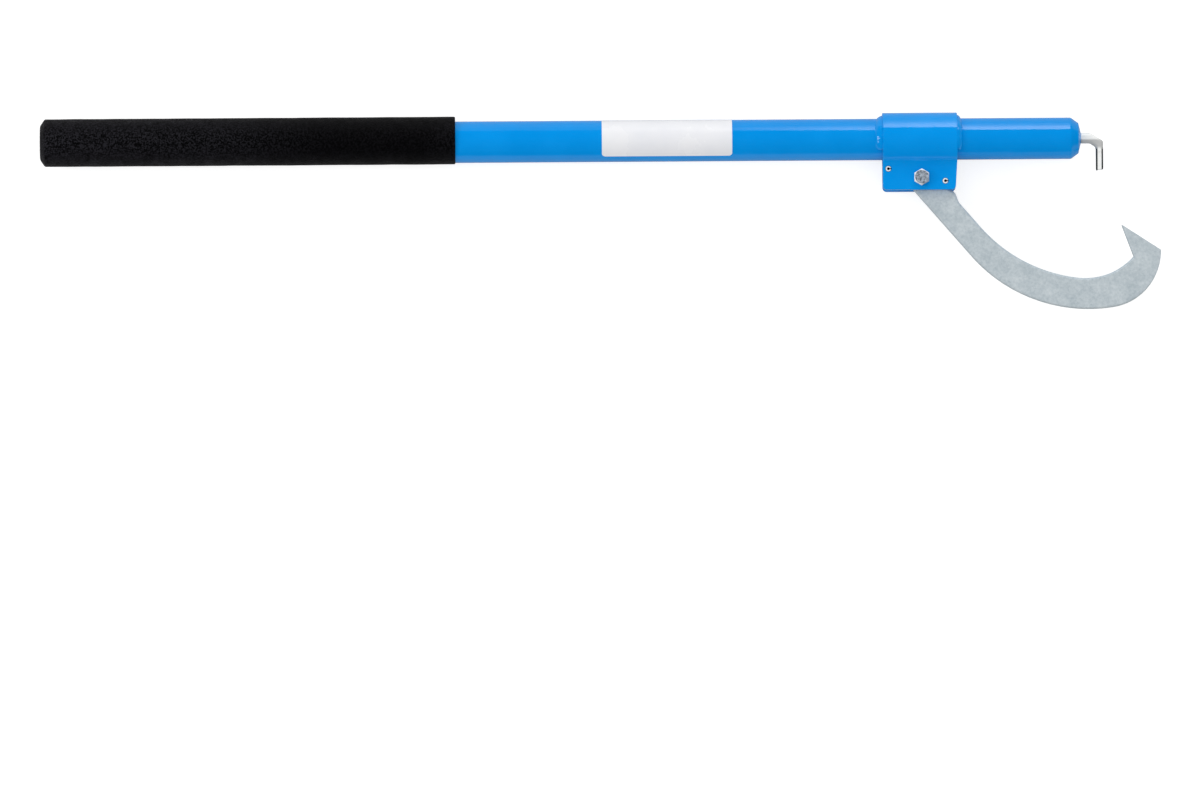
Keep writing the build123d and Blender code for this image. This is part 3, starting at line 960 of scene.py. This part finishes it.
def makeWorld():
    # white to the camera, an even fill for shading, and in gloss a pale horizon
    # that darkens overhead, as in a room lit low
    world = bpy.data.worlds.new("studioWorld")
    bpy.context.scene.world = world
    world.use_nodes = True
    tree = world.node_tree
    back = tree.nodes["Background"]
    back.inputs["Color"].default_value = (1, 1, 1, 1)
    path = addNode(tree, "ShaderNodeLightPath", (-900, 300))
    spot = addNode(tree, "ShaderNodeTexCoord", (-1200, -100))
    split = addNode(tree, "ShaderNodeSeparateXYZ", (-1000, -100))
    sky = addNode(
        tree, "ShaderNodeMapRange", (-800, -100), interpolation_type="SMOOTHSTEP", clamp=True
    )
    setInputs(sky, **{
        "From Min": stageSet["skyLow"], "From Max": stageSet["skyHigh"],
        "To Min": stageSet["horizon"], "To Max": stageSet["zenith"],
    })
    shaded = addNode(tree, "ShaderNodeMix", (-500, 0), data_type="FLOAT")
    shaded.inputs["B"].default_value = stageSet["fill"]
    level = addNode(tree, "ShaderNodeMath", (-250, 0), operation="MAXIMUM")
    join = tree.links.new
    join(spot.outputs["Generated"], split.inputs["Vector"])
    join(split.outputs["Z"], sky.inputs["Value"])
    join(sky.outputs["Result"], shaded.inputs["A"])
    join(path.outputs["Is Diffuse Ray"], shaded.inputs["Factor"])
    join(shaded.outputs["Result"], level.inputs[0])
    join(path.outputs["Is Camera Ray"], level.inputs[1])
    join(level.outputs["Value"], back.inputs["Strength"])
    world.cycles.sampling_method = "NONE"


makeWorld()
print("lamps and world placed")


# Camera, where the photograph was taken from

cameraSet = {
    "imageWide": 1200,
    "imageHigh": 800,
    "metresPerPixel": 0.7648 * mm,
    "buttPixelX": 40.3,
    "buttPixelY": 145.1,
    "axisSlope": 0.0067,
    "tilt": 5.0,
    "sideLook": 0.5,
    "distance": 14.0,
    "sensorWide": 36.0,
    "clipStart": 0.1,
    "clipEnd": 200.0,
}


def makeCamera():
    scale = cameraSet["metresPerPixel"]
    acrossFromButt = (cameraSet["imageWide"] / 2 - cameraSet["buttPixelX"]) * scale
    downFromButt = (cameraSet["imageHigh"] / 2 - cameraSet["buttPixelY"]) * scale
    roll = asin(cameraSet["axisSlope"])
    tilt = radians(cameraSet["tilt"])
    target = Vector((
        acrossFromButt * cos(roll) - downFromButt * sin(roll),
        (-downFromButt * cos(roll) - acrossFromButt * sin(roll)) / cos(tilt),
        0,
    ))
    side = radians(cameraSet["sideLook"])
    away = Vector((-sin(side), -sin(tilt), cos(tilt))).normalized()
    data = bpy.data.cameras.new("photoCamera")
    camera = bpy.data.objects.new("photoCamera", data)
    bpy.context.scene.collection.objects.link(camera)
    forward = -away
    right = Vector((cos(roll), -sin(roll), 0))
    right = (right - forward * right.dot(forward)).normalized()
    up = right.cross(forward)
    turn = Matrix((right, up, -forward)).transposed().to_4x4()
    camera.matrix_world = Matrix.Translation(target + away * cameraSet["distance"]) @ turn
    data.sensor_width = cameraSet["sensorWide"]
    # the scale holds at the handle, which isn't quite as far away as the target
    handleDepth = cameraSet["distance"] - target.y * sin(tilt)
    data.lens = data.sensor_width * handleDepth / (cameraSet["imageWide"] * scale)
    data.clip_start = cameraSet["clipStart"]
    data.clip_end = cameraSet["clipEnd"]
    bpy.context.scene.camera = camera


makeCamera()
bpy.context.scene.view_settings.view_transform = "Standard"
print("camera placed")
